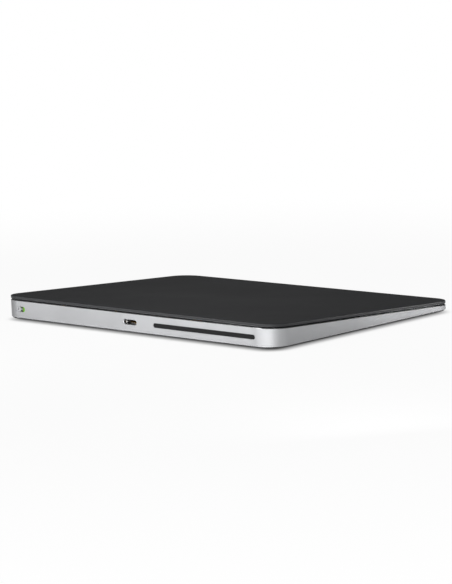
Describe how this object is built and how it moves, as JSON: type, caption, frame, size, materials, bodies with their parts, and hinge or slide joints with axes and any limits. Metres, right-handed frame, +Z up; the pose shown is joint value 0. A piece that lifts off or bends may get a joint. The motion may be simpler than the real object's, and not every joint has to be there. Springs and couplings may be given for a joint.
{
  "type": "wireless trackpad",
  "caption": "Low wedge-shaped wireless trackpad: a dark glass touch plate floats over a pale aluminium tray, with a charging socket and a slide switch at the rear.",
  "frame": {"origin": "bottom centre of the whole pad, on the surface that its feet stand on", "axes": "+X across the pad to the user's right, +Y from the low front edge to the high rear edge with the socket, +Z up"},
  "size_m": [0.16, 0.115, 0.0109],
  "materials": {
    "shell_aluminium": "bead-blasted and clear anodised",
    "plate_glass": "etched matt, painted dark on the underside",
    "bezel_black": "moulded",
    "window_plastic": "moulded, flush with the wall",
    "foot_rubber": "moulded silicone",
    "circuit_board": "solder-masked glass fibre",
    "chip_black": "moulded epoxy",
    "stamped_steel": "stamped and nickel plated",
    "spring_steel": "etched spring steel",
    "screw_steel": "plated",
    "socket_steel": "drawn and nickel plated",
    "socket_plastic": "moulded",
    "contact_gilt": "gilt",
    "gauge_foil": "etched foil",
    "ribbon_film": "polyimide film",
    "cable_jacket": "extruded",
    "cell_foil": "pouch foil in black film",
    "adhesive_tape": "stretch-release foam",
    "tab_nickel": "rolled nickel",
    "coil_copper": "enamelled wire",
    "sled_steel": "machined",
    "magnet_nickel": "nickel plated",
    "gel": "cast silicone gel",
    "switch_plastic": "moulded",
    "indicator_green": "moulded in colour",
    "slide_aluminium": "machined and anodised"
  },
  "bodies": {
    "base": {"antenna_board": "circuit_board", "antenna_cable": "cable_jacket", "antenna_window": "window_plastic", "battery_adhesive": "adhesive_tape", "battery_cell_left": "cell_foil", "battery_cell_right": "cell_foil", "battery_guard_board": "circuit_board", "battery_tabs": "tab_nickel", "board_connectors": "chip_black", "board_screws": "screw_steel", "bridge_ribbon": "ribbon_film", "foot_front_left": "foot_rubber", "foot_front_right": "foot_rubber", "foot_rear_left": "foot_rubber", "foot_rear_right": "foot_rubber", "force_beam_front_left": "spring_steel", "force_beam_front_right": "spring_steel", "force_beam_rear_left": "spring_steel", "force_beam_rear_right": "spring_steel", "gel_pad_front_left": "gel", "gel_pad_front_right": "gel", "gel_pad_rear_left": "gel", "gel_pad_rear_right": "gel", "haptic_bumpers": "foot_rubber", "haptic_coils": "coil_copper", "haptic_cover": "stamped_steel", "haptic_frame": "stamped_steel", "haptic_ribbon": "ribbon_film", "haptic_rods": "screw_steel", "haptic_screws": "screw_steel", "main_board": "circuit_board", "main_chips": "chip_black", "power_board": "circuit_board", "power_parts": "chip_black", "radio_shield": "stamped_steel", "sensor_screws": "screw_steel", "socket_board": "circuit_board", "socket_contacts": "contact_gilt", "socket_insulator": "socket_plastic", "socket_ribbon": "ribbon_film", "socket_shell": "socket_steel", "socket_springs": "spring_steel", "strain_gauges": "gauge_foil", "switch_board": "circuit_board", "switch_body": "switch_plastic", "switch_ribbon": "ribbon_film", "tray": "shell_aluminium"},
    "plate": {"touch_glass": "plate_glass", "bezel_frame": "bezel_black", "touch_sensor_board": "circuit_board", "stiffener_plate": "stamped_steel", "touch_controller": "chip_black", "touch_ribbon": "ribbon_film"},
    "slide": {"power_slide": "switch_plastic", "slide_cap": "slide_aluminium", "switch_indicator": "indicator_green", "switch_wiper": "contact_gilt"},
    "sled": {"haptic_sled": "sled_steel", "haptic_magnets": "magnet_nickel"}
  },
  "joints": [
    {"name": "plate_press", "type": "slide", "parent": "base", "child": "plate", "axis": [0, 0, -1], "range_m": [0, 0.00015], "stiffness_N_per_m": 30000, "springref_m": -0.0001, "deforming": ["gel_pad_front_left", "gel_pad_front_right", "gel_pad_rear_left", "gel_pad_rear_right", "touch_ribbon"]},
    {"name": "power_switch", "type": "slide", "parent": "base", "child": "slide", "axis": [-1, 0, 0], "range_m": [0, 0.0015]},
    {"name": "haptic_shift", "type": "slide", "parent": "base", "child": "sled", "axis": [1, 0, 0], "range_m": [-0.0003, 0.0003], "stiffness_N_per_m": 4000}
  ]
}
